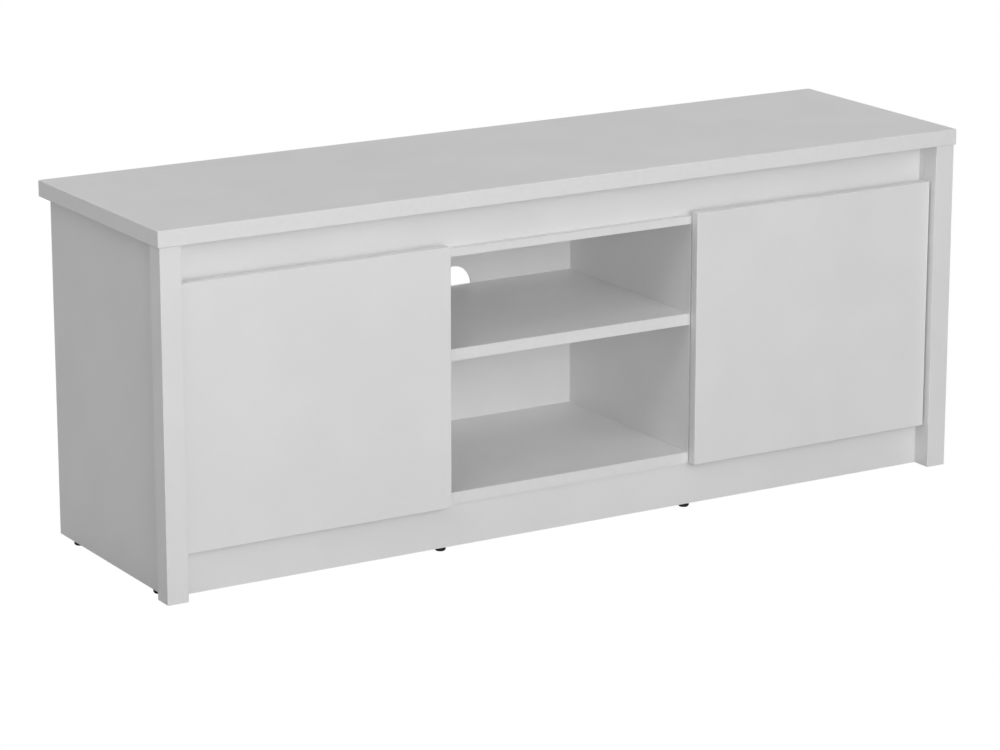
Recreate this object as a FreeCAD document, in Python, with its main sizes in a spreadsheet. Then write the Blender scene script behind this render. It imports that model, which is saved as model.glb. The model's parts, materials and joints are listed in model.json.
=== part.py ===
import FreeCAD, Part
import os
import re
from FreeCAD import Placement, Rotation, Vector

# A low stand for a television, made of flat boards: two doors either side of an open niche.
# X runs along the width, -Y is the front, +Z is up, and the origin is on the floor under the middle.
# The left half is modelled and mirrored; boards that cross the middle are modelled whole.

DIMENSIONS = {
    "total_width": 1400, "total_depth": 400, "total_height": 557,
    "top_thick": 25, "board_thick": 18, "thin_board_thick": 12, "back_thick": 3,
    "band_thick": 2, "band_round": 1.5, "front_band_thick": 1, "post_round": 1,
    "foot_height": 6, "foot_radius": 8.5, "foot_lip": 2, "foot_tread_radius": 7,
    # front posts and side panels
    "post_side_inset": 3, "post_front_inset": 2, "post_width": 34, "post_depth": 32,
    # set-backs from the front edge of the top board
    "boards_inset": 32, "grip_rail_inset": 45, "plinth_inset": 36, "door_inset": 13,
    # heights above the floor
    "carcass_top_height": 466, "shelf_height": 313, "bottom_board_height": 91,
    "niche_width": 436,
    # back panels, in a groove of each side panel
    "back_inset": 20, "groove_depth": 8, "back_overlap": 7, "groove_slack": 0.1, "back_drop": 9,
    "joint_gap": 1, "joint_strip_width": 14, "joint_strip_thick": 1,
    "cable_hole_radius": 32, "cable_hole_height": 311.5,
    # doors
    "door_thick": 16, "door_height": 400, "door_bottom": 74, "door_gap": 3,
    "hinge_end_distance": 90,
    "bumper_radius": 4, "bumper_rim": 1.4, "bumper_crown_radius": 2.8, "bumper_crown": 1.2,
    "bumper_end_distance": 26,
    # loose shelves behind the doors
    "loose_shelf_thick": 16, "loose_shelf_height": 280, "loose_shelf_gap": 1,
    "loose_shelf_front": -140, "loose_shelf_back": 175,
    "peg_radius": 2.5, "peg_length": 16, "peg_bore": 9, "peg_step": 32,
    "peg_front": -100, "peg_back": 130,
    # dowels, screws, cams, nails
    "dowel_radius": 4, "dowel_short_end": 12, "dowel_long_end": 18,
    "small_dowel_radius": 3, "small_dowel_end": 10,
    "cam_radius": 7.5, "cam_depth": 12.5, "cam_distance": 34, "cam_axis_depth": 9,
    "cam_slot": 7.4, "cam_driver_width": 1.4, "cam_driver_depth": 2, "cam_driver_length": 11,
    "bolt_thread_radius": 3, "bolt_thread": 11, "bolt_shank_radius": 2.5, "bolt_shank": 24,
    "bolt_neck": 3, "bolt_neck_radius": 1.5, "bolt_head": 3.5, "bolt_head_radius": 3.4,
    "bolt_bore_radius": 4,
    "screw_head_radius": 5, "screw_head": 3, "screw_shank_radius": 3.5, "screw_shank": 9,
    "screw_thread_radius": 3, "screw_length": 50, "socket_radius": 2.3, "socket_depth": 2.6,
    "cross_length": 3.6, "cross_width": 0.8, "cross_depth": 1,
    "nail_radius": 0.75, "nail_length": 18, "nail_head_radius": 2, "nail_head": 0.8,
    "foot_nail_radius": 1.25, "foot_nail_length": 16,
    # concealed hinge, from its pin's axis
    "pin_from_edge": 7, "pin_from_front": 7, "pin_radius": 1, "pin_slack": 0.05, "pin_half": 9.6,
    "cup_centre": 13.5, "cup_radius": 17.5, "cup_wall": 0.5, "cup_depth": 12,
    "flange_radius": 19.5, "flange_thick": 0.8, "flange_cut": -4.3,
    "ear_centre": 19, "ear_width": 11, "ear_half": 30, "cup_screw_reach": 24,
    "cup_screw_radius": 1.75, "cup_screw_bore": 10, "pan_radius": 3.2, "pan_thick": 1.4,
    "boss_inner": 5.4, "boss_height": 4.7, "boss_side": 3,
    "eye_radius": 2, "arm_half": 5, "arm_thick": 2.5, "arm_reach": 13.3, "arm_back": 14.7,
    "arm_top": 1.2, "arm_end": 62, "arm_screw_near": 30, "arm_screw_far": 54,
    "arm_screw_radius": 2,
    "plate_thick": 3, "plate_start": 22, "plate_end": 64, "plate_half": 8,
    "wing_start": 36, "wing_end": 48, "wing_half": 24, "plate_screw_reach": 18,
    "plate_screw_radius": 2.5, "plate_screw_bore": 11, "plate_head_radius": 4,
    "plate_head": 1.6,
}

doc = FreeCAD.newDocument("tv_stand")
sheet = doc.addObject("Spreadsheet::Sheet", "Dims")
for row, (word, number) in enumerate(DIMENSIONS.items(), 1):
    sheet.set(f"A{row}", word)
    sheet.set(f"B{row}", str(number))
    sheet.setAlias(f"B{row}", word)
doc.recompute()

# ---- places that follow from the dimensions, as expressions in the words above ----

HALF_WIDTH = "(total_width / 2)"
FRONT = "(-total_depth / 2)"
BACK = "(total_depth / 2)"
UNDER_TOP = "(total_height - top_thick)"
POST_OUTER = f"({HALF_WIDTH} - post_side_inset)"
INNER = f"({POST_OUTER} - post_width)"
PANEL_OUTER = f"({INNER} + board_thick)"
PANEL_MIDDLE = f"({INNER} + board_thick / 2)"
POST_FRONT = f"({FRONT} + post_front_inset)"
POST_BACK = f"({POST_FRONT} + post_depth)"
BOARDS_FRONT = f"({FRONT} + boards_inset)"
BOARDS_CORE = f"({BOARDS_FRONT} + front_band_thick)"
BACK_REAR = f"({BACK} - back_inset)"
BACK_FRONT = f"({BACK_REAR} - back_thick)"
BACK_BOTTOM = "(bottom_board_height - board_thick - back_drop)"
UNDER_CARCASS_TOP = "(carcass_top_height - thin_board_thick)"
UNDER_BOTTOM = "(bottom_board_height - board_thick)"
NICHE = "(niche_width / 2)"
PARTITION_OUTER = f"({NICHE} + board_thick)"
PARTITION_MIDDLE = f"({NICHE} + board_thick / 2)"
GRIP_FRONT = f"({FRONT} + grip_rail_inset)"
PLINTH_FRONT = f"({FRONT} + plinth_inset)"
RAIL_BACK_FRONT = f"({BACK_FRONT} - board_thick)"
DOOR_FRONT = f"({FRONT} + door_inset)"
DOOR_BACK = f"({DOOR_FRONT} + door_thick)"
DOOR_OUTER = f"({INNER} - door_gap)"
DOOR_TOP = "(door_bottom + door_height)"
PIN_X = f"(-{DOOR_OUTER} + pin_from_edge)"
PIN_Y = f"({DOOR_FRONT} + pin_from_front)"
CUP_FACE = "(door_thick - pin_from_front)"
PLATE_FACE = "(door_gap + pin_from_edge - plate_thick)"
HINGE_HEIGHTS = {"lower": "(door_bottom + hinge_end_distance)",
                 "upper": f"({DOOR_TOP} - hinge_end_distance)"}

NORMALS = {"left": Vector(-1, 0, 0), "right": Vector(1, 0, 0), "front": Vector(0, -1, 0),
           "rear": Vector(0, 1, 0), "bottom": Vector(0, 0, -1), "top": Vector(0, 0, 1)}
OPPOSITE = {"left": "right", "right": "left", "front": "rear", "rear": "front",
            "bottom": "top", "top": "bottom"}
# For each face: the origin plane to draw on, and the two world axes of a point drawn there.
PLANES = {"left": ("YZ_Plane", 1, 2), "right": ("YZ_Plane", 1, 2),
          "front": ("XZ_Plane", 0, 2), "rear": ("XZ_Plane", 0, 2),
          "bottom": ("XY_Plane", 0, 1), "top": ("XY_Plane", 0, 1)}


def bound(text):
    """The expression with each of the dimensions' words written as its cell in the sheet."""
    return re.sub(r"[a-z][a-z_]+", lambda word: "Dims." + word.group(), text)


def size(text):
    """The present value of an expression."""
    return float(sheet.evalExpression(bound(text)))


def point(x, y, z):
    """A point from three expressions."""
    return Vector(size(x), size(y), size(z))


def bind(thing, **properties):
    """Binds properties of an object to expressions; a double underscore stands for a dot."""
    for name, text in properties.items():
        thing.setExpression(name.replace("__", "."), bound(text))


def new_sketch(body, plane, offset, name):
    """An empty sketch of the body, on its own origin plane moved along the plane's normal."""
    sketch = body.newObject("Sketcher::SketchObject", name)
    support = next(item for item in body.Origin.OriginFeatures if item.Role == plane)
    sketch.AttachmentSupport = [(support, "")]
    sketch.MapMode = "FlatFace"
    bind(sketch, AttachmentOffset__Base__z=offset)
    return sketch


def constrain(sketch, kind, *arguments, to):
    """A sketch constraint whose value is bound to an expression."""
    from Sketcher import Constraint
    index = sketch.addConstraint(Constraint(kind, *arguments, size(to)))
    sketch.setExpression(f"Constraints[{index}]", bound(to))


def draw_rectangle(sketch, low, high):
    """A rectangle between two corners, each a pair of expressions of 0 or more."""
    from Sketcher import Constraint
    (u0, v0), (u1, v1) = [[size(text) for text in corner] for corner in (low, high)]
    corners = [Vector(u0, v0, 0), Vector(u1, v0, 0), Vector(u1, v1, 0), Vector(u0, v1, 0)]
    first = sketch.GeometryCount
    for start, end in zip(corners, corners[1:] + corners[:1]):
        sketch.addGeometry(Part.LineSegment(start, end))
    for side in range(4):
        sketch.addConstraint(Constraint("Coincident", first + side, 2, first + (side + 1) % 4, 1))
        sketch.addConstraint(Constraint("Vertical" if side % 2 else "Horizontal", first + side))
    if low == ("0", "0"):
        sketch.addConstraint(Constraint("Coincident", first, 1, -1, 1))
    else:
        constrain(sketch, "DistanceX", -1, 1, first, 1, to=low[0])
        constrain(sketch, "DistanceY", -1, 1, first, 1, to=low[1])
    constrain(sketch, "DistanceX", first, 1, first, 2, to=f"({high[0]}) - ({low[0]})")
    constrain(sketch, "DistanceY", first + 1, 1, first + 1, 2, to=f"({high[1]}) - ({low[1]})")


class Board:
    """A rectangular board between low and high corners, padded from a sketch of one face."""

    def __init__(self, name, x, y, z, plane="bottom", mirrored=False):
        self.low, self.high = (x[0], y[0], z[0]), (x[1], y[1], z[1])
        self.mirrored = mirrored
        self.body = doc.addObject("PartDesign::Body", name)
        self.body.Label = name
        bind(self.body, Placement__Base__x=x[0], Placement__Base__y=y[0], Placement__Base__z=z[0])
        origin_plane, u, v = PLANES[plane]
        self.spans = [f"({high}) - ({low})" for low, high in zip(self.low, self.high)]
        self.face_size = (self.spans[u], self.spans[v])
        self.sketch = new_sketch(self.body, origin_plane, "0", "Outline")
        draw_rectangle(self.sketch, ("0", "0"), self.face_size)
        self.pad = self.body.newObject("PartDesign::Pad", "Thickness")
        self.pad.Profile = self.sketch
        self.pad.Reversed = plane == "front"
        bind(self.pad, Length=self.spans[3 - u - v])
        doc.recompute()

    def round_edges(self, radius):
        """Rounds all the edges of the plain board."""
        fillet = self.body.newObject("PartDesign::Fillet", "Rounding")
        fillet.Base = (self.pad, [f"Edge{number + 1}" for number in range(len(self.pad.Shape.Edges))])
        bind(fillet, Radius=radius)
        doc.recompute()

    def plane_of(self, face):
        """The world coordinate of a face, along its own axis."""
        axis = 3 - PLANES[face][1] - PLANES[face][2]
        return self.high[axis] if face in ("right", "rear", "top") else self.low[axis]

    def drill(self, face, points, radius, depth, name="Bores"):
        """Round bores into a face, at world points given by their two coordinates on it."""
        plane, u, v = PLANES[face]
        offset = {"right": self.spans[0], "rear": f"-({self.spans[1]})", "top": self.spans[2]}
        sketch = new_sketch(self.body, plane, offset.get(face, "0"), name + "_centres")
        for place in points:
            across, up = [f"({text}) - ({self.low[axis]})" for text, axis in zip(place, (u, v))]
            circle = Part.Circle(Vector(size(across), size(up), 0), Vector(0, 0, 1), size(radius))
            index = sketch.addGeometry(circle)
            constrain(sketch, "DistanceX", -1, 1, index, 3, to=across)
            constrain(sketch, "DistanceY", -1, 1, index, 3, to=up)
            constrain(sketch, "Radius", index, to=radius)
        self.pocket(sketch, face, depth, name)

    def groove(self, face, low, high, depth, name="Groove"):
        """A rectangular groove into a face, between two world points on it."""
        plane, u, v = PLANES[face]
        offset = {"right": self.spans[0], "rear": f"-({self.spans[1]})", "top": self.spans[2]}
        sketch = new_sketch(self.body, plane, offset.get(face, "0"), name + "_outline")
        corners = [tuple(f"({text}) - ({self.low[axis]})" for text, axis in zip(corner, (u, v)))
                   for corner in (low, high)]
        draw_rectangle(sketch, *corners)
        self.pocket(sketch, face, depth, name)

    def pocket(self, sketch, face, depth, name):
        """Cuts a sketch into the board, and checks that it took material away."""
        doc.recompute()
        before = self.body.Shape.Volume
        pocket = self.body.newObject("PartDesign::Pocket", name)
        pocket.Profile = sketch
        pocket.Reversed = face in ("left", "rear", "bottom")
        bind(pocket, Length=depth)
        doc.recompute()
        if before - self.body.Shape.Volume < 1:
            raise RuntimeError(f"{self.body.Label}: {name} cut nothing")


# ---- fasteners: each kind is one master, copied to every place that a joint gives it ----

FASTENERS = ("wood_dowels", "small_dowels", "cam_locks", "cam_bolts", "confirmat_screws",
             "back_panel_nails")
places = {name: [] for name in FASTENERS}


def add_place(kind, where, axis, slot=None, mirror=False):
    """Notes a fastener's place: its foot, the way it points, and for a cam where its slot opens."""
    rotation = Rotation(Vector(0, 0, 1), axis)
    if slot is not None:
        rotation = Rotation(Vector(), slot, axis, "ZYX")
    places[kind].append(Placement(where, rotation))
    if mirror:
        flip = [Vector(-way.x, way.y, way.z) if way is not None else None for way in (where, axis, slot)]
        add_place(kind, *flip)


def world_point(board, face, place):
    """The world point on a board's face that has the two given coordinates."""
    _, u, v = PLANES[face]
    coordinates = [board.plane_of(face)] * 3
    coordinates[u], coordinates[v] = place
    return point(*coordinates)


def bore(board, face, points, radius, depth, name, twin):
    """Drills a board, and for a mirrored neighbour the same on its other half or other end."""
    board.drill(face, points, radius, depth, name)
    if twin and not board.mirrored:
        if face in ("left", "right"):
            board.drill(OPPOSITE[face], points, radius, depth, name)
        else:
            board.drill(face, [(f"-({u})", v) for u, v in points], radius, depth, name)


def dowel_joint(first, face, second, points, small=False):
    """Dowels between a face of one board and the edge of another that stands against it."""
    twin = first.mirrored or second.mirrored
    radius = "small_dowel_radius" if small else "dowel_radius"
    short = "small_dowel_end" if small else "dowel_short_end"
    long = "small_dowel_end" if small else "dowel_long_end"
    bore(first, face, points, radius, short, "Dowel_bores", twin)
    bore(second, OPPOSITE[face], points, radius, long, "Dowel_bores", twin)
    for place in points:
        foot = world_point(first, face, place) - NORMALS[face] * size(short)
        add_place("small_dowels" if small else "wood_dowels", foot, NORMALS[face], mirror=twin)


def cam_joint(first, face, second, cam_face, points):
    """Cam bolts screwed into a face of one board and held by cams let into the other."""
    twin = first.mirrored or second.mirrored
    bore(first, face, points, "bolt_thread_radius", "bolt_thread", "Bolt_bores", twin)
    bore(second, OPPOSITE[face], points, "bolt_bore_radius", "cam_distance", "Bolt_channels", twin)
    normal = NORMALS[face]
    _, u, v = PLANES[face]
    cam_axes = PLANES[cam_face][1:]
    sign = "+" if max(normal) > 0 else "-"
    along = f"{first.plane_of(face)} {sign} cam_distance"
    cam_points = []
    for place in points:
        coordinates = [along] * 3
        coordinates[u], coordinates[v] = place
        cam_points.append(tuple(coordinates[axis] for axis in cam_axes))
        foot = world_point(first, face, place)
        add_place("cam_bolts", foot - normal * size("bolt_thread"), normal, mirror=twin)
        cam = world_point(second, cam_face, cam_points[-1])
        add_place("cam_locks", cam, -NORMALS[cam_face], slot=-normal, mirror=twin)
    bore(second, cam_face, cam_points, "cam_radius", "cam_depth", "Cam_bores", twin)


def screw_joint(first, face, second, points):
    """Confirmat screws through one board into the edge of another."""
    twin = first.mirrored or second.mirrored
    axis = 3 - PLANES[face][1] - PLANES[face][2]
    outer = OPPOSITE[face]
    bore(first, outer, points, "screw_head_radius", "screw_head", "Screw_heads", twin)
    bore(first, outer, points, "screw_shank_radius", first.spans[axis], "Screw_clearance", twin)
    depth = f"screw_length - ({first.spans[axis]})"
    bore(second, outer, points, "screw_thread_radius", depth, "Screw_bores", twin)
    for place in points:
        add_place("confirmat_screws", world_point(first, outer, place), NORMALS[face], mirror=twin)


# ---- boards ----

def left_board(name, x, y, z, **options):
    """A board of the left half; x is given as distances from the middle, outer one first."""
    return Board("left_" + name, (f"-({x[0]})", f"-({x[1]})"), y, z, mirrored=True, **options)


def middle_board(name, half, y, z, **options):
    """A board that spans the middle."""
    return Board(name, (f"-({half})", half), y, z, **options)


top = middle_board("top_board", f"{HALF_WIDTH} - band_thick",
                   (f"{FRONT} + band_thick", f"{BACK} - band_thick"), (UNDER_TOP, "total_height"))
panel = left_board("side_panel", (PANEL_OUTER, INNER), (POST_BACK, BACK), ("foot_height", UNDER_TOP))
post = left_board("front_post", (POST_OUTER, INNER), (POST_FRONT, POST_BACK), ("foot_height", UNDER_TOP))
post.round_edges("post_round")
carcass_top = middle_board("carcass_top_board", INNER, (BOARDS_CORE, BACK_FRONT),
                           (UNDER_CARCASS_TOP, "carcass_top_height"))
bottom = middle_board("bottom_board", INNER, (BOARDS_CORE, BACK_FRONT),
                      (UNDER_BOTTOM, "bottom_board_height"))
partition = left_board("partition", (PARTITION_OUTER, NICHE), (BOARDS_CORE, BACK_FRONT),
                       ("bottom_board_height", UNDER_CARCASS_TOP))
shelf = middle_board("niche_shelf", NICHE, (BOARDS_CORE, BACK_FRONT),
                     ("shelf_height - board_thick", "shelf_height"))
grip_rail = middle_board("grip_rail", INNER, (GRIP_FRONT, f"{GRIP_FRONT} + board_thick"),
                         ("carcass_top_height", UNDER_TOP))
upper_rail = middle_board("upper_rear_rail", INNER, (RAIL_BACK_FRONT, BACK_FRONT),
                          ("carcass_top_height", UNDER_TOP))
plinth = middle_board("plinth", INNER, (PLINTH_FRONT, f"{PLINTH_FRONT} + board_thick"),
                      ("foot_height", UNDER_BOTTOM))
lower_rail = middle_board("lower_rear_rail", INNER, (RAIL_BACK_FRONT, BACK_FRONT),
                          ("foot_height", UNDER_BOTTOM))
loose_shelf = left_board("inner_shelf",
                         (f"{INNER} - loose_shelf_gap", f"{PARTITION_OUTER} + loose_shelf_gap"),
                         ("loose_shelf_front", "loose_shelf_back"),
                         ("loose_shelf_height - loose_shelf_thick", "loose_shelf_height"))

# Back panels of thin hardboard, meeting behind the partitions.
back_height = (BACK_BOTTOM, UNDER_TOP)
side_back = left_board("back_panel",
                       (f"{INNER} + back_overlap", f"{PARTITION_MIDDLE} + joint_gap / 2"),
                       (BACK_FRONT, BACK_REAR), back_height, plane="front")
niche_back = middle_board("niche_back_panel", f"{PARTITION_MIDDLE} - joint_gap / 2",
                          (BACK_FRONT, BACK_REAR), back_height, plane="front")
niche_back.drill("rear", [("0", "cable_hole_height")], "cable_hole_radius", "back_thick", "Cable_hole")
panel.groove("right", (f"{BACK_FRONT} - groove_slack", BACK_BOTTOM),
             (f"{BACK_REAR} + groove_slack", UNDER_TOP), "groove_depth")

# Door slab, with the glued band left off all round.
door = left_board("door", (f"{DOOR_OUTER} - band_thick", f"{NICHE} + band_thick"),
                  (DOOR_FRONT, DOOR_BACK), ("door_bottom + band_thick", f"{DOOR_TOP} - band_thick"),
                  plane="front")

# ---- joints between the boards ----

LENGTHWISE = ("-120", "120")
CAM_SPOTS = ("-80", "80")
dowel_joint(top, "bottom", panel, [(f"-{PANEL_MIDDLE}", y) for y in LENGTHWISE])
cam_joint(top, "bottom", panel, "right", [(f"-{PANEL_MIDDLE}", y) for y in CAM_SPOTS])
bottom_middle = "(bottom_board_height - board_thick / 2)"
dowel_joint(panel, "right", bottom, [(y, bottom_middle) for y in LENGTHWISE])
cam_joint(panel, "right", bottom, "bottom", [(y, bottom_middle) for y in CAM_SPOTS])
carcass_top_middle = "(carcass_top_height - thin_board_thick / 2)"
dowel_joint(panel, "right", carcass_top, [(y, carcass_top_middle) for y in ("-120", "0", "120")],
            small=True)
dowel_joint(post, "rear", panel, [(f"-{PANEL_MIDDLE}", z) for z in ("110", "230", "350", "440")])

grip_middle = f"({GRIP_FRONT} + board_thick / 2)"
rear_middle = f"({RAIL_BACK_FRONT} + board_thick / 2)"
plinth_middle = f"({PLINTH_FRONT} + board_thick / 2)"
for rail, middle, cam_face, dowel_height, cam_height in (
        (grip_rail, grip_middle, "rear", "484", "510"),
        (upper_rail, rear_middle, "front", "484", "510"),
        (plinth, plinth_middle, "rear", "24", "52"),
        (lower_rail, rear_middle, "front", "24", "52")):
    dowel_joint(panel, "right", rail, [(middle, dowel_height)])
    cam_joint(panel, "right", rail, cam_face, [(middle, cam_height)])
RAIL_SPOTS = ("-450", "0", "450")
dowel_joint(top, "bottom", grip_rail, [(x, grip_middle) for x in RAIL_SPOTS])
dowel_joint(top, "bottom", upper_rail, [(x, rear_middle) for x in RAIL_SPOTS])
dowel_joint(bottom, "bottom", plinth, [(x, plinth_middle) for x in RAIL_SPOTS])
dowel_joint(bottom, "bottom", lower_rail, [(x, rear_middle) for x in RAIL_SPOTS])

SCREW_SPOTS = ("-100", "130")
partition_spots = [(f"-{PARTITION_MIDDLE}", y) for y in SCREW_SPOTS]
screw_joint(carcass_top, "bottom", partition, partition_spots)
screw_joint(bottom, "top", partition, partition_spots)
screw_joint(partition, "right", shelf, [(y, "(shelf_height - board_thick / 2)") for y in SCREW_SPOTS])

# Nails through the back panels into the rails and the bottom board.
nail_depth = "(nail_length - back_thick)"
nail_heights = {bottom: bottom_middle, upper_rail: "500"}
SIDE_NAILS = ("-600", "-440", "-270")
MIDDLE_NAILS = ("-150", "-50", "50", "150")
for board, height in nail_heights.items():
    bore(side_back, "rear", [(x, height) for x in SIDE_NAILS], "nail_radius", "back_thick", "Nails", False)
    bore(niche_back, "rear", [(x, height) for x in MIDDLE_NAILS], "nail_radius", "back_thick", "Nails", False)
    bore(board, "rear", [(x, height) for x in SIDE_NAILS], "nail_radius", nail_depth, "Nails", True)
    bore(board, "rear", [(x, height) for x in MIDDLE_NAILS], "nail_radius", nail_depth, "Nails", False)
    for spots, sided in ((SIDE_NAILS, True), (MIDDLE_NAILS, False)):
        for x in spots:
            head = point(x, f"{BACK_REAR} + nail_head", height)
            add_place("back_panel_nails", head, NORMALS["front"], mirror=sided)

# Bores for the shelf pegs, the hinges and the feet.
PEG_DEPTHS = ("peg_front", "peg_back")
peg_height = "(loose_shelf_height - loose_shelf_thick - peg_radius)"
peg_rows = [(y, f"{peg_height} + {step} * peg_step") for y in PEG_DEPTHS for step in (-1, 0, 1)]
panel.drill("right", peg_rows, "peg_radius", "peg_bore", "Peg_bores")
partition.drill("left", peg_rows, "peg_radius", "peg_bore", "Peg_bores")
plate_screw_y = f"({PIN_Y} + (wing_start + wing_end) / 2)"
panel.drill("right", [(plate_screw_y, f"{height} {side} plate_screw_reach")
                      for height in HINGE_HEIGHTS.values() for side in "+-"],
            "plate_screw_radius", "plate_screw_bore", "Hinge_plate_bores")
door.drill("rear", [(f"{PIN_X} + cup_centre", height) for height in HINGE_HEIGHTS.values()],
           "cup_radius", "cup_depth", "Cup_bores")
door.drill("rear", [(f"{PIN_X} + ear_centre", f"{height} {side} cup_screw_reach")
                    for height in HINGE_HEIGHTS.values() for side in "+-"],
           "cup_screw_radius", "cup_screw_bore", "Cup_screw_bores")
foot_nail_depth = "(foot_nail_length - foot_height + foot_lip)"
SIDE_FEET = [(f"-{PANEL_MIDDLE}", y) for y in ("-119", "151")]
PLINTH_FEET = [(f"-({NICHE} + foot_lip)", plinth_middle)]
REAR_FEET = [(f"-({NICHE} + foot_lip)", rear_middle)]
for board, spots in ((panel, SIDE_FEET), (plinth, PLINTH_FEET), (lower_rail, REAR_FEET)):
    bore(board, "bottom", spots, "foot_nail_radius", foot_nail_depth, "Foot_nail_bores", True)


# ---- pieces from primitives ----

def cylinder(radius, length, base=("0", "0", "0"), axis=Vector(0, 0, 1), top_radius=None):
    """A cylinder, or a cone if top_radius is given, standing on base and pointing along axis."""
    if top_radius is None:
        solid = doc.addObject("Part::Cylinder", "Round")
        bind(solid, Radius=radius, Height=length)
    else:
        solid = doc.addObject("Part::Cone", "Taper")
        bind(solid, Radius1=radius, Radius2=top_radius, Height=length)
    solid.Placement = Placement(Vector(), Rotation(Vector(0, 0, 1), axis))
    bind(solid, Placement__Base__x=base[0], Placement__Base__y=base[1], Placement__Base__z=base[2])
    return solid


def box(x, y, z):
    """A box between pairs of expressions."""
    solid = doc.addObject("Part::Box", "Block")
    bind(solid, Length=f"({x[1]}) - ({x[0]})", Width=f"({y[1]}) - ({y[0]})",
         Height=f"({z[1]}) - ({z[0]})", Placement__Base__x=x[0], Placement__Base__y=y[0],
         Placement__Base__z=z[0])
    return solid


def socket(radius, depth):
    """A hexagonal prism, as a key socket cuts."""
    solid = doc.addObject("Part::Prism", "Socket")
    solid.Polygon = 6
    bind(solid, Circumradius=radius, Height=depth)
    return solid


def fuse(solids):
    """Several solids as one."""
    if len(solids) == 1:
        return solids[0]
    union = doc.addObject("Part::MultiFuse", "Union")
    union.Shapes = solids
    union.Refine = True
    return union


def combine(name, solids, tools=()):
    """One piece made of solids, less the tools."""
    piece = fuse(solids)
    if tools:
        base, piece = piece, doc.addObject("Part::Cut", name)
        piece.Base, piece.Tool = base, fuse(list(tools))
    piece.Label = name
    doc.recompute()
    return piece


def stack(name, *sections):
    """Cylinders and cones on top of each other: (radius, length) or (radius, top radius, length)."""
    solids, base = [], "0"
    for *radii, length in sections:
        solids.append(cylinder(radii[0], length, ("0", "0", base), top_radius=(radii + [None])[1]))
        base = f"{base} + {length}"
    return combine(name, solids)


def sets(name, masters, spots):
    """A node with a separate solid of every master piece at each placement."""
    node = doc.addObject("Part::Feature", name)
    shapes = []
    for master in masters:
        for spot in spots:
            shape = master.Shape.copy()
            shape.Placement = spot.multiply(shape.Placement)
            shapes.append(shape)
    node.Shape = shapes[0] if len(shapes) == 1 else Part.makeCompound(shapes)
    node.Label = name
    return node


def mirror(source, name):
    """The right-hand twin of a left-hand piece."""
    twin = doc.addObject("Part::Mirroring", name)
    twin.Source = source
    twin.Normal = Vector(1, 0, 0)
    twin.Label = name
    return twin


def both_sides(place):
    """A placement and its mirror image, for a piece that is the same above and below."""
    base, rotation = place.Base, place.Rotation
    turned = Rotation(Vector(0, 1, 0), 180).multiply(rotation)
    return [place, Placement(Vector(-base.x, base.y, base.z), turned)]


nodes = [board.body for board in (top, panel, post, carcass_top, bottom, partition, shelf, grip_rail,
                                  upper_rail, plinth, lower_rail, loose_shelf, side_back, niche_back,
                                  door)]
for board in (panel, post, partition, loose_shelf, side_back, door):
    nodes.append(mirror(board.body, board.body.Label.replace("left_", "right_")))


def band(name, x, y, z, plane):
    """A glued edge band round a board: a hollow frame with rounded outer edges."""
    frame = Board(name, x, y, z, plane)
    frame.round_edges("band_round")
    face_axes = PLANES[plane][1:]
    low = tuple(f"{frame.low[axis]} + band_thick" for axis in face_axes)
    high = tuple(f"{frame.high[axis]} - band_thick" for axis in face_axes)
    frame.groove(plane, low, high, frame.spans[3 - sum(face_axes)], "Board_space")
    return frame.body


nodes.append(band("top_edge_band", (f"-{HALF_WIDTH}", HALF_WIDTH), (FRONT, BACK),
                  (UNDER_TOP, "total_height"), "bottom"))
door_band = band("left_door_edge_band", (f"-{DOOR_OUTER}", f"-{NICHE}"), (DOOR_FRONT, DOOR_BACK),
                 ("door_bottom", DOOR_TOP), "front")
nodes += [door_band, mirror(door_band, "right_door_edge_band")]

# Front edge bands of the plain boards, one strip each.
band_y = (BOARDS_FRONT, BOARDS_CORE)
strips = [box((f"-{INNER}", INNER), band_y, (UNDER_CARCASS_TOP, "carcass_top_height")),
          box((f"-{INNER}", INNER), band_y, (UNDER_BOTTOM, "bottom_board_height")),
          box((f"-{NICHE}", NICHE), band_y, ("shelf_height - board_thick", "shelf_height"))]
partition_z = ("bottom_board_height", UNDER_CARCASS_TOP)
strips.append(box((f"-{PARTITION_OUTER}", f"-{NICHE}"), band_y, partition_z))
strips.append(box((NICHE, PARTITION_OUTER), band_y, partition_z))
front_bands = doc.addObject("Part::Compound", "front_edge_bands")
front_bands.Links = strips
front_bands.Label = "front_edge_bands"
nodes.append(front_bands)

# Plastic strips that cover the joints of the back panels.
joint_webs = []
for side in ("-", "+"):
    middle = f"(0 {side} {PARTITION_MIDDLE})"
    web = box((f"{middle} - joint_gap / 2", f"{middle} + joint_gap / 2"), (BACK_FRONT, BACK_REAR),
              back_height)
    cover = box((f"{middle} - joint_strip_width / 2", f"{middle} + joint_strip_width / 2"),
                (BACK_REAR, f"{BACK_REAR} + joint_strip_thick"), back_height)
    joint_webs.append(fuse([web, cover]))
joint_strips = doc.addObject("Part::Compound", "back_joint_strips")
joint_strips.Links = joint_webs
joint_strips.Label = "back_joint_strips"
nodes.append(joint_strips)

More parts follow.
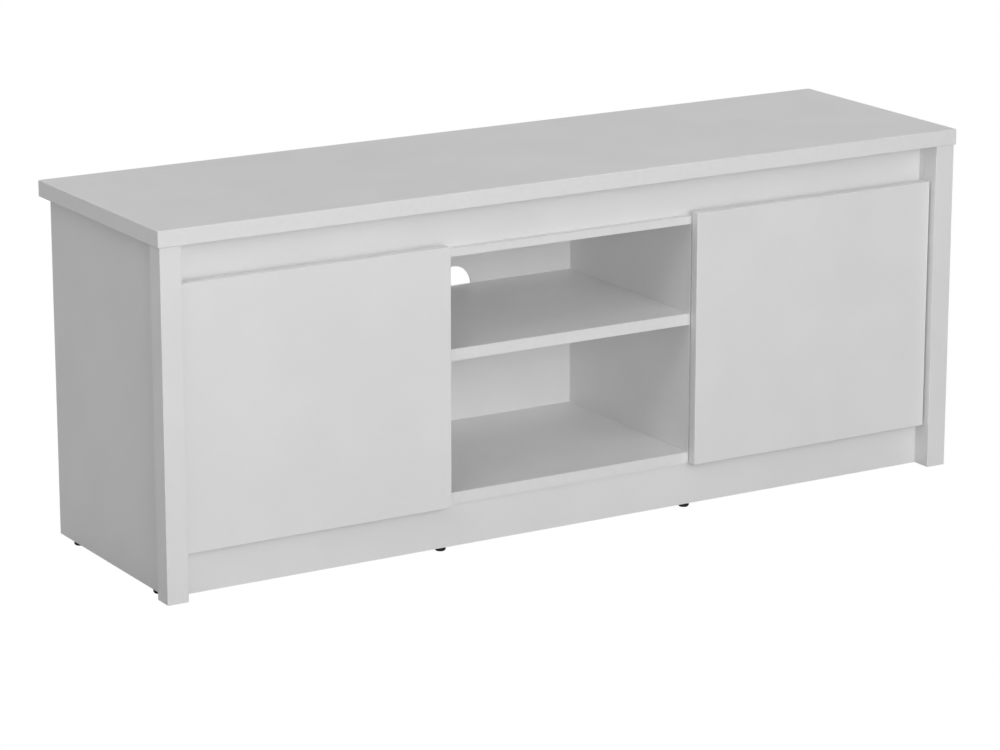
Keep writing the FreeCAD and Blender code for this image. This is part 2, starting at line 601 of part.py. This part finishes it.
# Fasteners.
thread_end = "(screw_length - screw_head - screw_shank)"
cam_block = box(("-cam_slot / 2", "cam_slot / 2"), ("-cam_slot / 2", "cam_radius + 1"),
                ("cam_axis_depth - cam_slot / 2", "cam_depth"))
arms = (("-cam_driver_length / 2", "cam_driver_length / 2"),
        ("-cam_driver_width / 2", "cam_driver_width / 2"))
cam_driver = [box(*sides, ("0", "cam_driver_depth")) for sides in (arms, arms[::-1])]
confirmat = stack("confirmat_rod", ("screw_head_radius", "screw_shank_radius", "screw_head"),
                  ("screw_shank_radius", "screw_shank"), ("screw_thread_radius", thread_end))
masters = {
    "wood_dowels": stack("wood_dowel", ("dowel_radius", "dowel_short_end + dowel_long_end")),
    "small_dowels": stack("small_dowel", ("small_dowel_radius", "2 * small_dowel_end")),
    "cam_locks": combine("cam_lock", [cylinder("cam_radius", "cam_depth")], [cam_block] + cam_driver),
    "cam_bolts": stack("cam_bolt", ("bolt_thread_radius", "bolt_thread"),
                       ("bolt_shank_radius", "bolt_shank"), ("bolt_neck_radius", "bolt_neck"),
                       ("bolt_head_radius", "bolt_head")),
    "confirmat_screws": combine("confirmat", [confirmat], [socket("socket_radius", "socket_depth")]),
    "back_panel_nails": stack("back_nail", ("nail_head_radius", "nail_head"),
                              ("nail_radius", "nail_length")),
}
for kind, master in masters.items():
    nodes.append(sets(kind, [master], places[kind]))

# Feet: a low domed glide under each spot, on a nail.
glide = stack("glide", ("foot_tread_radius", "foot_radius", "foot_lip"),
              ("foot_radius", "foot_height - foot_lip"))
glide = combine("floor_glide", [glide], [cylinder("foot_nail_radius", "foot_height", ("0", "0", "foot_lip"))])
foot_nail = stack("foot_nail", ("foot_nail_radius", "foot_nail_length"))
feet = [spot for u, v in SIDE_FEET + PLINTH_FEET + REAR_FEET
        for spot in both_sides(Placement(point(u, v, "0"), Rotation()))]
feet = [Placement(spot.Base, Rotation()) for spot in feet]
nodes.append(sets("floor_glides", [glide], feet))
nail_lift = Placement(point("0", "0", "foot_lip"), Rotation())
nodes.append(sets("foot_nails", [foot_nail], [spot.multiply(nail_lift) for spot in feet]))

# Shelf pegs, half in the panel or partition and half under the loose shelf.
peg = stack("shelf_peg", ("peg_radius", "peg_length"))
peg_spots = []
for board, face in ((panel, "right"), (partition, "left")):
    for y in PEG_DEPTHS:
        foot = world_point(board, face, (y, peg_height)) - NORMALS[face] * size("peg_bore")
        peg_spots += both_sides(Placement(foot, Rotation(Vector(0, 0, 1), NORMALS[face])))
nodes.append(sets("shelf_pegs", [peg], peg_spots))

# Soft bumpers on the partitions, just clear of the closed doors.
bumper = combine("door_bumper", [
    cylinder("bumper_radius", "bumper_rim", axis=NORMALS["front"]),
    cylinder("bumper_radius", "bumper_crown", ("0", "-bumper_rim", "0"), NORMALS["front"],
             top_radius="bumper_crown_radius")])
bumper_spots = [spot for z in ("door_bottom + bumper_end_distance", f"{DOOR_TOP} - 2 * bumper_end_distance")
                for spot in both_sides(Placement(point(f"-{PARTITION_MIDDLE}", BOARDS_FRONT, z), Rotation()))]
nodes.append(sets("door_bumpers", [bumper], bumper_spots))

# ---- concealed hinge, about its pin's axis ----

cup_floor = "(cup_wall - pin_from_front + door_thick - cup_depth)"
cup_outside = "(door_thick - cup_depth - pin_from_front)"
bore_radius = "(cup_radius - cup_wall)"
boss_top = f"({cup_floor} + boss_height)"
flange_face = f"({CUP_FACE} + flange_thick)"
WIDE = "(2 * cup_radius)"
BACKWARD = NORMALS["rear"]
lower_bore = doc.addObject("Part::Common", "Lower_bore")
lower_bore.Base = cylinder(bore_radius, f"{boss_top} - {cup_floor}", ("cup_centre", cup_floor, "0"), BACKWARD)
lower_bore.Tool = fuse([box((f"-{WIDE}", WIDE), (cup_floor, boss_top), ("-boss_inner", "boss_inner")),
                        box(("boss_side", f"2 * {WIDE}"), (cup_floor, boss_top), (f"-{WIDE}", WIDE))])
cup = combine(
    "hinge_cup",
    [cylinder("cup_radius", "cup_depth", ("cup_centre", cup_outside, "0"), BACKWARD),
     cylinder("flange_radius", "flange_thick", ("cup_centre", CUP_FACE, "0"), BACKWARD),
     box(("ear_centre - ear_width / 2", "ear_centre + ear_width / 2"), (CUP_FACE, flange_face),
         ("-ear_half", "ear_half"))],
    [cylinder(bore_radius, f"{flange_face} - {boss_top}", ("cup_centre", boss_top, "0"), BACKWARD),
     lower_bore,
     box((f"-{WIDE}", "flange_cut"), (CUP_FACE, flange_face), (f"-{WIDE}", WIDE)),
     cylinder("pin_radius", "2 * pin_half", ("0", "0", "-pin_half"))]
    + [cylinder("cup_screw_radius", "flange_thick", ("ear_centre", CUP_FACE, f"{side}cup_screw_reach"),
                BACKWARD) for side in ("", "-")])
pin = combine("hinge_pin", [cylinder("pin_radius", "2 * pin_half", ("0", "0", "-pin_half"))])


def arm_body():
    """The gooseneck arm: a bent strip from the eye, round the door's edge, to its plate."""
    from math import sqrt
    from Sketcher import Constraint
    body = doc.addObject("PartDesign::Body", "arm_strip")
    sketch = new_sketch(body, "XY_Plane", "0", "Bent_strip")
    eye, reach, back, end = (size(word) for word in ("eye_radius", "arm_reach", "arm_back", "arm_end"))
    thick, rise, face = size("arm_thick"), size("arm_top"), -size(PLATE_FACE)
    eye_x = sqrt(eye ** 2 - rise ** 2)
    outline = [(0, -eye), (reach, -eye), (reach, back), (face + thick, back), (face + thick, end),
               (face, end), (face, back - thick), (reach - thick, back - thick),
               (reach - thick, rise), (eye_x, rise)]
    corners = [Vector(x, y, 0) for x, y in outline]
    for start, finish in zip(corners, corners[1:]):
        sketch.addGeometry(Part.LineSegment(start, finish))
    sketch.addGeometry(Part.Arc(corners[-1], Vector(-eye, 0, 0), corners[0]))
    for line in range(len(corners) - 1):
        if line:
            sketch.addConstraint(Constraint("Coincident", line - 1, 2, line, 1))
        sketch.addConstraint(Constraint("Vertical" if line % 2 else "Horizontal", line))
    pad = body.newObject("PartDesign::Pad", "Width")
    pad.Profile = sketch
    pad.Midplane = True
    bind(pad, Length="2 * arm_half")
    doc.recompute()
    return body


arm_screw_places = [(f"-{PLATE_FACE}", f"{word}", "0") for word in ("arm_screw_near", "arm_screw_far")]
arm = combine("hinge_arm", [arm_body()],
              [cylinder("pin_radius + pin_slack", "2 * arm_half", ("0", "0", "-arm_half"))]
              + [cylinder("arm_screw_radius", "arm_thick", spot, NORMALS["right"])
                 for spot in arm_screw_places])
wall_side = f"(-{PLATE_FACE} - plate_thick)"
wing_middle = "((wing_start + wing_end) / 2)"
plate = combine(
    "mounting_plate",
    [box((wall_side, f"-{PLATE_FACE}"), ("plate_start", "plate_end"), ("-plate_half", "plate_half")),
     box((wall_side, f"-{PLATE_FACE}"), ("wing_start", "wing_end"), ("-wing_half", "wing_half"))],
    [cylinder("arm_screw_radius", "plate_thick", (wall_side, spot[1], "0"), NORMALS["right"])
     for spot in arm_screw_places]
    + [cylinder("plate_screw_radius", "plate_thick", (wall_side, wing_middle, f"{side}plate_screw_reach"),
                NORMALS["right"]) for side in ("", "-")])


def screw(name, seat, axis, radius, reach, head_radius, head):
    """A screw whose head stands on seat and points along axis, with a cross recess in it."""
    normal = NORMALS[axis]
    along = PLANES[axis][1:]
    line = 3 - sum(along)
    sign = "+" if max(normal) > 0 else "-"

    def spot(distance):
        """A point on the screw's line, that far out from its seat."""
        coordinates = list(seat)
        coordinates[line] = f"{seat[line]} {sign} ({distance})"
        return tuple(coordinates)

    arms = []
    for lengthwise in along:
        spans = [None] * 3
        for axis_number in along:
            half = "cross_length / 2" if axis_number == lengthwise else "cross_width / 2"
            middle = seat[axis_number]
            spans[axis_number] = (f"{middle} - {half}", f"{middle} + {half}")
        spans[line] = (spot(f"{head} - cross_depth")[line], spot(head)[line])
        arms.append(box(*spans))
    shank = cylinder(radius, f"{reach} + {head} / 2", spot(f"-({reach})"), normal)
    return combine(name, [shank, cylinder(head_radius, head, seat, normal)], arms)


pan_screws = [screw("cup_screw", ("ear_centre", flange_face, f"{side}cup_screw_reach"), "rear",
                    "cup_screw_radius", "cup_screw_bore + flange_thick - 1", "pan_radius", "pan_thick")
              for side in ("", "-")]
plate_screws = [screw("plate_screw", (f"-{PLATE_FACE}", wing_middle, f"{side}plate_screw_reach"), "right",
                      "plate_screw_radius", "plate_screw_bore + plate_thick - 1",
                      "plate_head_radius", "plate_head")
                for side in ("", "-")]
arm_screws = [screw("arm_screw", (f"-{PLATE_FACE} + arm_thick", spot[1], "0"), "right",
                    "arm_screw_radius", "arm_thick + plate_thick", "pan_radius", "pan_thick")
              for spot in arm_screw_places]

hinge_spots = {"left": {}, "right": {}}
for level, height in HINGE_HEIGHTS.items():
    left_spot, right_spot = both_sides(Placement(point(PIN_X, PIN_Y, height), Rotation()))
    hinge_spots["left"][level] = left_spot
    hinge_spots["right"][level] = right_spot
for side, levels in hinge_spots.items():
    for level, spot in levels.items():
        for word, master in (("cup", cup), ("pin", pin), ("arm", arm), ("plate", plate)):
            nodes.append(sets(f"{side}_{level}_hinge_{word}", [master], [spot]))
    nodes.append(sets(f"{side}_cup_screws", pan_screws, levels.values()))
every_spot = [spot for levels in hinge_spots.values() for spot in levels.values()]
nodes.append(sets("hinge_plate_screws", plate_screws, every_spot))
nodes.append(sets("hinge_arm_screws", arm_screws, every_spot))

# ---- check and write ----

doc.recompute()
for item in doc.Objects:
    if "Invalid" in item.State or "Error" in item.State:
        raise RuntimeError(f"{item.Label} failed: {item.State}")
os.makedirs("parts", exist_ok=True)
for node in nodes:
    if node.Shape.isNull() or not node.Shape.isValid():
        raise RuntimeError(f"{node.Label} has no valid shape")
for node in nodes:
    node.Shape.exportStep(f"parts/{node.Label}.step")
    print(node.Label, len(node.Shape.Solids), round(node.Shape.Volume))
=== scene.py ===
"""Looks of a low television stand of white boards: materials, small detailed fittings, light and camera."""

import json
import math

import bmesh
import bpy
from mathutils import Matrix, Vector


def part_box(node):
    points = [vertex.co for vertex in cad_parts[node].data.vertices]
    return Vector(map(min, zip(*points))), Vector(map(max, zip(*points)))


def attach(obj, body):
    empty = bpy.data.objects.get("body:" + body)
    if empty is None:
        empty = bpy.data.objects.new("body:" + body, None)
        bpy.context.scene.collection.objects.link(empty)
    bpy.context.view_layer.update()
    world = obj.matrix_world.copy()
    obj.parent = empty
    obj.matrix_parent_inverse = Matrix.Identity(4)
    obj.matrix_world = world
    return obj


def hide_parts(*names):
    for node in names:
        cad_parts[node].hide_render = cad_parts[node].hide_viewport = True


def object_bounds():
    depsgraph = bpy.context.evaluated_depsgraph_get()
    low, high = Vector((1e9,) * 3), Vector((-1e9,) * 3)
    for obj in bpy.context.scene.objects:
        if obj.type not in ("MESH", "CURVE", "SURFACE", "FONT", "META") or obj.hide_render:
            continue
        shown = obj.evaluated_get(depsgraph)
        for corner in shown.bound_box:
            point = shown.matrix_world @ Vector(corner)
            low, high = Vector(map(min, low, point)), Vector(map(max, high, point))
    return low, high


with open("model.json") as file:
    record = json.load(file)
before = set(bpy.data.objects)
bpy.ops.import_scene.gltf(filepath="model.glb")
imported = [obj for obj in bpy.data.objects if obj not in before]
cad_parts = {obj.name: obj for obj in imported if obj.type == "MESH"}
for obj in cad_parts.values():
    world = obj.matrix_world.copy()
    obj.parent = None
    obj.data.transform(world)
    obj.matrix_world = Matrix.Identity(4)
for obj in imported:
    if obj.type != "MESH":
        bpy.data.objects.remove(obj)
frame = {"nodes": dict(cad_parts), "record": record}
cad_low, cad_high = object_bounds()

MM = 0.001
NODES = frame["nodes"]
SLOTS = {row["node"]: row["material_slot"] for row in frame["record"]["subparts"]}


# ---- materials ----

class Shader:
    """A node material round one Principled shader."""

    def __init__(self, name, roughness=0.5, metallic=0.0, specular=0.5):
        self.material = bpy.data.materials.new(name)
        self.material.use_nodes = True
        self.tree = self.material.node_tree
        self.principled = self.tree.nodes["Principled BSDF"]
        self.principled.inputs["Roughness"].default_value = roughness
        self.principled.inputs["Metallic"].default_value = metallic
        self.principled.inputs["Specular IOR Level"].default_value = specular
        self.coordinates = self.node("ShaderNodeTexCoord")

    def node(self, kind, **settings):
        """A node with the given settings; a setting named after an input sets that input."""
        made = self.tree.nodes.new(kind)
        for key, value in settings.items():
            if hasattr(made, key):
                setattr(made, key, value)
            else:
                made.inputs[key.replace("_", " ").title()].default_value = value
        return made

    def link(self, source, target):
        """Joins two sockets, or sets the target where the source is a number."""
        if isinstance(source, (int, float)):
            target.default_value = source
        else:
            self.tree.links.new(source, target)

    def place(self, scale=(1, 1, 1)):
        """The piece's own coordinates in metres, stretched by scale."""
        mapping = self.node("ShaderNodeMapping")
        mapping.inputs["Scale"].default_value = scale
        self.link(self.coordinates.outputs["Object"], mapping.inputs["Vector"])
        return mapping.outputs["Vector"]

    def noise(self, size, detail=2.0, roughness=0.5, stretch=(1, 1, 1)):
        """Noise with features of about the given size in metres."""
        made = self.node("ShaderNodeTexNoise", Scale=1 / size, Detail=detail, Roughness=roughness)
        self.link(self.place(stretch), made.inputs["Vector"])
        return made.outputs["Fac"]

    def ramp(self, factor, *stops):
        """A colour ramp through (position, colour) stops."""
        made = self.node("ShaderNodeValToRGB")
        elements = made.color_ramp.elements
        while len(elements) < len(stops):
            elements.new(0.5)
        for element, (position, colour) in zip(elements, stops):
            element.position = position
            element.color = (*colour, 1) if len(colour) == 3 else colour
        self.link(factor, made.inputs["Fac"])
        return made.outputs["Color"]

    def remap(self, factor, low, high):
        """The factor from 0 to 1 spread over low to high."""
        made = self.node("ShaderNodeMapRange")
        made.inputs["To Min"].default_value = low
        made.inputs["To Max"].default_value = high
        self.link(factor, made.inputs["Value"])
        return made.outputs["Result"]

    def math(self, operation, *values):
        """A maths node over sockets and numbers."""
        made = self.node("ShaderNodeMath", operation=operation)
        for socket, value in zip(made.inputs, values):
            self.link(value, socket)
        return made.outputs["Value"]

    def mix(self, factor, first, second, blend="MIX"):
        """A colour mix of two colour sockets."""
        made = self.node("ShaderNodeMix", data_type="RGBA", blend_type=blend)
        self.link(factor, made.inputs[0])
        self.link(first, made.inputs[6])
        self.link(second, made.inputs[7])
        return made.outputs[2]

    def bump(self, *layers):
        """Bumps on top of each other: (height socket, strength, distance in metres)."""
        normal = None
        for height, strength, distance in layers:
            made = self.node("ShaderNodeBump", Strength=strength, Distance=distance)
            self.link(height, made.inputs["Height"])
            if normal is not None:
                self.link(normal, made.inputs["Normal"])
            normal = made.outputs["Normal"]
        self.link(normal, self.principled.inputs["Normal"])

    def colour(self, socket):
        """Uses a socket as the base colour."""
        self.link(socket, self.principled.inputs["Base Color"])

    def rough(self, socket):
        """Uses a socket as the roughness."""
        self.link(socket, self.principled.inputs["Roughness"])

    def facing(self, axis, sign):
        """1 where the piece's own surface faces along an axis, 0 elsewhere."""
        parts = self.node("ShaderNodeSeparateXYZ")
        self.link(self.coordinates.outputs["Normal"], parts.inputs["Vector"])
        along = self.math("MULTIPLY", parts.outputs[axis], float(sign))
        return self.math("GREATER_THAN", along, 0.9)


def grey(value):
    """A neutral colour."""
    return (value, value, value)


def chipboard_colour(shader):
    """Raw chipboard: pale and dark flakes in light brown."""
    flakes = shader.noise(2.2 * MM, detail=3.0, roughness=0.7, stretch=(1, 1, 0.5))
    return shader.ramp(flakes, (0.30, (0.16, 0.10, 0.05)), (0.46, (0.42, 0.30, 0.18)),
                       (0.62, (0.58, 0.45, 0.29)), (0.75, (0.70, 0.58, 0.40)))


PAPER_DRIFT = 0.012  # how far the white of the melamine paper wanders either way


def melamine(name, white, raw=()):
    """White melamine with a very fine pearled grain; raw faces, as (axis, sign), show chipboard."""
    shader = Shader(name)
    drift = shader.noise(120 * MM, detail=1.0)
    speck = shader.noise(0.9 * MM, detail=2.0)
    paper = shader.ramp(drift, (0.35, grey(white - PAPER_DRIFT)), (0.65, grey(white + PAPER_DRIFT)))
    fine = shader.ramp(speck, (0.30, grey(0.955)), (0.60, grey(1.0)))
    surface = shader.mix(1.0, paper, fine, blend="MULTIPLY")
    for axis, sign in raw:
        surface = shader.mix(shader.facing(axis, sign), surface, chipboard_colour(shader))
    shader.colour(surface)
    shader.rough(shader.remap(shader.noise(35 * MM, detail=3.0), 0.36, 0.46))
    shader.bump((shader.noise(0.8 * MM, detail=2.0), 0.12, 0.05 * MM),
                (shader.noise(3.5 * MM, detail=1.0), 0.05, 0.05 * MM))
    return shader.material


def plastic(name, colour, roughness, grain):
    """Moulded or extruded plastic with a faint mottle."""
    shader = Shader(name, roughness)
    low = tuple(channel * 0.985 for channel in colour)
    high = tuple(min(1.0, channel * 1.01) for channel in colour)
    shader.colour(shader.ramp(shader.noise(9 * MM, detail=2.0), (0.3, low), (0.7, high)))
    shader.rough(shader.remap(shader.noise(2 * MM), roughness - 0.05, roughness + 0.05))
    shader.bump((shader.noise(grain, detail=1.0), 0.08, 0.02 * MM))
    return shader.material


def metal(name, colour, roughness, stretch=(1, 1, 1)):
    """Plated metal with fine drawing lines and a cloudy sheen."""
    shader = Shader(name, roughness, metallic=1.0)
    low = tuple(channel * 0.86 for channel in colour)
    shader.colour(shader.ramp(shader.noise(4 * MM, detail=3.0), (0.35, low), (0.65, colour)))
    lines = shader.noise(0.35 * MM, detail=3.0, stretch=stretch)
    shader.rough(shader.remap(lines, roughness - 0.08, roughness + 0.10))
    shader.bump((lines, 0.08, 0.02 * MM))
    return shader.material


def hardboard(name):
    """Thin hardboard: white lacquer in front and round the cable hole, raw brown fibre behind."""
    shader = Shader(name)
    fibre = shader.noise(1.6 * MM, detail=4.0, roughness=0.75, stretch=(1, 1, 0.35))
    brown = shader.ramp(fibre, (0.30, (0.20, 0.115, 0.06)), (0.55, (0.33, 0.20, 0.11)),
                        (0.72, (0.43, 0.28, 0.165)))
    lacquer = shader.ramp(shader.noise(60 * MM), (0.35, grey(0.905)), (0.65, grey(0.92)))
    behind = shader.facing("Y", 1)
    shader.colour(shader.mix(behind, lacquer, brown))
    shader.rough(shader.math("ADD", 0.45, shader.math("MULTIPLY", behind, 0.27)))
    shader.bump((shader.noise(0.7 * MM, detail=3.0), 0.20, 0.05 * MM))
    return shader.material


def beech(name):
    """Straight-grained beech."""
    shader = Shader(name, 0.6)
    grain = shader.noise(1.2 * MM, detail=4.0, stretch=(1, 1, 0.2))
    shader.colour(shader.ramp(grain, (0.30, (0.50, 0.33, 0.18)), (0.70, (0.74, 0.56, 0.36))))
    shader.bump((grain, 0.2, 0.05 * MM))
    return shader.material


WHITE = 0.93
materials = {
    "white_board": melamine("melamine", WHITE),
    "door_board": melamine("door_melamine", WHITE),
    "edge_band": plastic("edge_banding", grey(WHITE), 0.38, 0.8 * MM),
    "white_plastic": plastic("white_strip", grey(0.86), 0.42, 0.6 * MM),
    "hardboard": hardboard("lacquered_hardboard"),
    "beech": beech("beech"),
    "die_cast_zinc": metal("die_cast_zinc", (0.56, 0.57, 0.58), 0.42),
    "zinc_plated_steel": metal("zinc_plate", (0.66, 0.68, 0.70), 0.30),
    "nickel_plated_steel": metal("nickel_plate", (0.72, 0.70, 0.67), 0.24, stretch=(1, 0.1, 1)),
    "glide_plastic": plastic("black_glide", grey(0.012), 0.45, 0.5 * MM),
    "clear_bumper": plastic("soft_bumper", (0.74, 0.74, 0.72), 0.30, 0.5 * MM),
}
# boards whose rear or lower edges have no band, so that the chipboard shows
raw_behind_and_below = melamine("melamine_raw_back", WHITE, (("Y", 1), ("Z", -1)))
raw_below = melamine("melamine_raw_below", WHITE, (("Z", -1),))
unbanded = dict.fromkeys(("left_side_panel", "right_side_panel"), raw_behind_and_below)
unbanded |= dict.fromkeys(("left_front_post", "right_front_post", "plinth", "lower_rear_rail"), raw_below)

for name, node in NODES.items():
    node.data.materials.clear()
    node.data.materials.append(unbanded.get(name, materials[SLOTS[name]]))

# ---- hinge arms: a bent strip with two upstanding ribs, in place of the plain CAD strip ----

# millimetres, measured from the hinge pin across the door (x) and into the cupboard (y)
STRIP = 2.5  # thickness of the strip
CROSSING = 14.7  # the far side of the stretch that crosses to the side panel
CROSSING_FREE = 5.0  # the part of that stretch that the ribs leave bare
EYE_RADIUS, EYE_RISE, EYE_STEPS = 2.0, 1.2, 14  # the end of the strip, rolled round the pin
WIDE_TURN, TIGHT_TURN = 2.4, 1.0  # the strip's bends
RIB_THICK = 1.1
RIB_START = ((5.4, 1.8), (3.6, 7.0), (3.0, 14.0))  # rib edge: above the strip, past the crossing
RIB_END = ((2.2, 12.0), (1.0, 1.2))  # rib edge: above the strip, before its tail
ROUNDING = 0.22


def turned(before, corner, after, radius, steps=5):
    """A corner of an outline, turned in short steps."""
    point = Vector(corner)
    start = point + (Vector(before) - point).normalized() * radius
    end = point + (Vector(after) - point).normalized() * radius
    shares = [step / steps for step in range(steps + 1)]
    return [start.lerp(point, share).lerp(point.lerp(end, share), share) for share in shares]


def arm_outlines(base, reach, tail):
    """Side outlines about the pin: the one that web and ribs share, the web's own and the ribs' own."""
    outer, inner, hook = base + STRIP, CROSSING - STRIP, reach - STRIP
    last = 2 * math.pi - math.acos(-EYE_RISE / EYE_RADIUS)
    angles = [last * (1 - step / EYE_STEPS) for step in range(EYE_STEPS + 1)]
    shared = [Vector((outer, tail)), Vector((base, tail)),
              *turned((base, tail), (base, inner), (hook, inner), WIDE_TURN),
              *turned((base, inner), (hook, inner), (hook, EYE_RISE), TIGHT_TURN),
              *turned((hook, inner), (hook, EYE_RISE), (EYE_RADIUS, EYE_RISE), TIGHT_TURN),
              *(Vector((-EYE_RADIUS * math.sin(angle), -EYE_RADIUS * math.cos(angle))) for angle in angles),
              *turned((EYE_RADIUS, -EYE_RADIUS), (reach, -EYE_RADIUS), (reach, CROSSING), WIDE_TURN),
              *turned((reach, -EYE_RADIUS), (reach, CROSSING), (reach - CROSSING_FREE, CROSSING), WIDE_TURN),
              Vector((reach - CROSSING_FREE, CROSSING))]
    web = [Vector((outer, CROSSING))]
    ribs = [Vector((outer + above, CROSSING + past)) for above, past in RIB_START]
    ribs += [Vector((outer + above, tail - before)) for above, before in RIB_END]
    return shared, web, ribs


def hinge_arm(side, level):
    """One gooseneck arm, inside the space of its CAD strip but for the ribs."""
    node = f"{side}_{level}_hinge_arm"
    low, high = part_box(node)
    pin_low, pin_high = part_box(node.replace("arm", "pin"))
    pin = (pin_low + pin_high) / 2
    sign = 1 if side == "left" else -1
    near, far = sorted((sign * (low.x - pin.x) / MM, sign * (high.x - pin.x) / MM))
    shared, web, ribs = arm_outlines(near, far, (high.y - pin.y) / MM)
    half = (high.z - low.z) / 2 / MM
    heights = (-half, RIB_THICK - half, half - RIB_THICK, half)
    mesh = bmesh.new()

    def row(points, levels):
        """Vertices of an outline at each of the levels."""
        return {height: [mesh.verts.new((pin.x + sign * point.x * MM, pin.y + point.y * MM,
                                         pin.z + heights[height] * MM)) for point in points]
                for height in levels}

    around, middle, edge = row(shared, range(4)), row(web, (1, 2)), row(ribs, range(4))

    def walls(lines, below, above):
        """Quads between two levels of an open line."""
        for first, second in zip(range(len(lines[below]) - 1), range(1, len(lines[below]))):
            mesh.faces.new((lines[below][first], lines[below][second],
                            lines[above][second], lines[above][first]))

    for below in range(3):
        walls(around, below, below + 1)
    inner_line = {height: [around[height][-1]] + middle[height] + [around[height][0]] for height in (1, 2)}
    walls(inner_line, 1, 2)
    rib_line = {height: [around[height][-1]] + edge[height] + [around[height][0]] for height in range(4)}
    walls(rib_line, 0, 1)
    walls(rib_line, 2, 3)
    for height in (0, 3):
        mesh.faces.new(around[height] + edge[height])
    for height in (1, 2):
        mesh.faces.new(rib_line[height] + middle[height][::-1])
    bmesh.ops.recalc_face_normals(mesh, faces=mesh.faces)
    data = bpy.data.meshes.new(f"{side}_{level}_ribbed_arm")
    mesh.to_mesh(data)
    mesh.free()
    piece = bpy.data.objects.new(data.name, data)
    bpy.context.scene.collection.objects.link(piece)
    data.materials.append(materials["nickel_plated_steel"])
    data.polygons.foreach_set("use_smooth", [True] * len(data.polygons))
    rounding = piece.modifiers.new("rounding", "BEVEL")
    rounding.width, rounding.segments, rounding.harden_normals = ROUNDING * MM, 2, True
    rounding.limit_method, rounding.angle_limit = "ANGLE", math.radians(35)
    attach(piece, "carcass")
    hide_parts(node)


for hinge_side in ("left", "right"):
    for hinge_level in ("lower", "upper"):
        hinge_arm(hinge_side, hinge_level)


# ---- stage ----

FLOOR_HALF = 30.0  # metres
FLOOR_REFLECTS = 0.50


def white_floor():
    """A pale floor, evenly bright to the camera, that reflects about half of the light to the stand."""
    shader = Shader("studio_floor", 0.9, specular=0.0)
    shader.colour(shader.ramp(shader.noise(0.5), (0.3, grey(FLOOR_REFLECTS - 0.01)),
                              (0.7, grey(FLOOR_REFLECTS + 0.01))))
    glow = shader.node("ShaderNodeEmission", Strength=1.0)
    glow.inputs["Color"].default_value = (1, 1, 1, 1)
    seen = shader.node("ShaderNodeLightPath")
    blend = shader.node("ShaderNodeMixShader")
    shader.link(seen.outputs["Is Camera Ray"], blend.inputs[0])
    shader.link(shader.principled.outputs[0], blend.inputs[1])
    shader.link(glow.outputs[0], blend.inputs[2])
    shader.link(blend.outputs[0], shader.tree.nodes["Material Output"].inputs["Surface"])
    return shader.material


floor_mesh = bpy.data.meshes.new("floor")
floor_mesh.from_pydata([(-FLOOR_HALF, -FLOOR_HALF, 0), (FLOOR_HALF, -FLOOR_HALF, 0),
                        (FLOOR_HALF, FLOOR_HALF, 0), (-FLOOR_HALF, FLOOR_HALF, 0)], [], [(0, 1, 2, 3)])
floor_mesh.materials.append(white_floor())
floor = bpy.data.objects.new("floor", floor_mesh)
bpy.context.scene.collection.objects.link(floor)

AMBIENT = 0.10  # even light from all round; the camera sees a white backdrop
world = bpy.data.worlds.new("studio")
bpy.context.scene.world = world
world.use_nodes = True
background = world.node_tree.nodes["Background"]
background.inputs["Color"].default_value = (1, 1, 1, 1)
path = world.node_tree.nodes.new("ShaderNodeLightPath")
level = world.node_tree.nodes.new("ShaderNodeMapRange")
level.inputs["To Min"].default_value = AMBIENT
level.inputs["To Max"].default_value = 1.0
world.node_tree.links.new(path.outputs["Is Camera Ray"], level.inputs["Value"])
world.node_tree.links.new(level.outputs["Result"], background.inputs["Strength"])


SOFTBOX_DISTANCE, SOFTBOX_SIDE = 6.0, 3.0  # metres
# azimuth from the front towards the right, elevation, and irradiance at the stand
SOFTBOXES = {
    "front_light": (-12, 8, 0.94), "front_right_light": (-5, 20, 0.43), "high_front_light": (12, 32, 0.31),
    "high_left_light": (-55, 46, 0.50), "side_fill": (-100, 20, 0.37), "back_light": (180, 35, 0.36),
    "back_right_light": (130, 50, 0.92)}


def softbox(name, azimuth, elevation, irradiance):
    """A square light that faces the stand's middle."""
    light = bpy.data.lights.new(name, "AREA")
    light.shape = "RECTANGLE"
    light.size, light.size_y = SOFTBOX_SIDE, SOFTBOX_SIDE
    light.energy = irradiance * math.pi * SOFTBOX_DISTANCE ** 2
    made = bpy.data.objects.new(name, light)
    bpy.context.scene.collection.objects.link(made)
    across, up = math.radians(azimuth), math.radians(elevation)
    direction = Vector((math.sin(across) * math.cos(up), -math.cos(across) * math.cos(up), math.sin(up)))
    made.location = (cad_low + cad_high) / 2 + direction * SOFTBOX_DISTANCE
    made.rotation_mode = "QUATERNION"
    made.rotation_quaternion = direction.to_track_quat("Z", "Y")


for name, settings in SOFTBOXES.items():
    softbox(name, *settings)

# ---- camera ----

CAMERA_PLACE = (-2.984, -4.900, 1.749)  # metres
CAMERA_PITCH, CAMERA_YAW = 15.05, 31.16  # degrees below level, and from straight ahead towards the right
CAMERA_LENS, CAMERA_SENSOR, CAMERA_CLIP = 137.7, 36.0, 100.0
camera_data = bpy.data.cameras.new("camera")
camera_data.lens, camera_data.sensor_width = CAMERA_LENS, CAMERA_SENSOR
camera_data.clip_end = CAMERA_CLIP
camera = bpy.data.objects.new("camera", camera_data)
camera.location = CAMERA_PLACE
camera.rotation_euler = (math.radians(90 - CAMERA_PITCH), 0, math.radians(-CAMERA_YAW))
bpy.context.scene.collection.objects.link(camera)
bpy.context.scene.camera = camera
bpy.context.scene.view_settings.view_transform = "Standard"
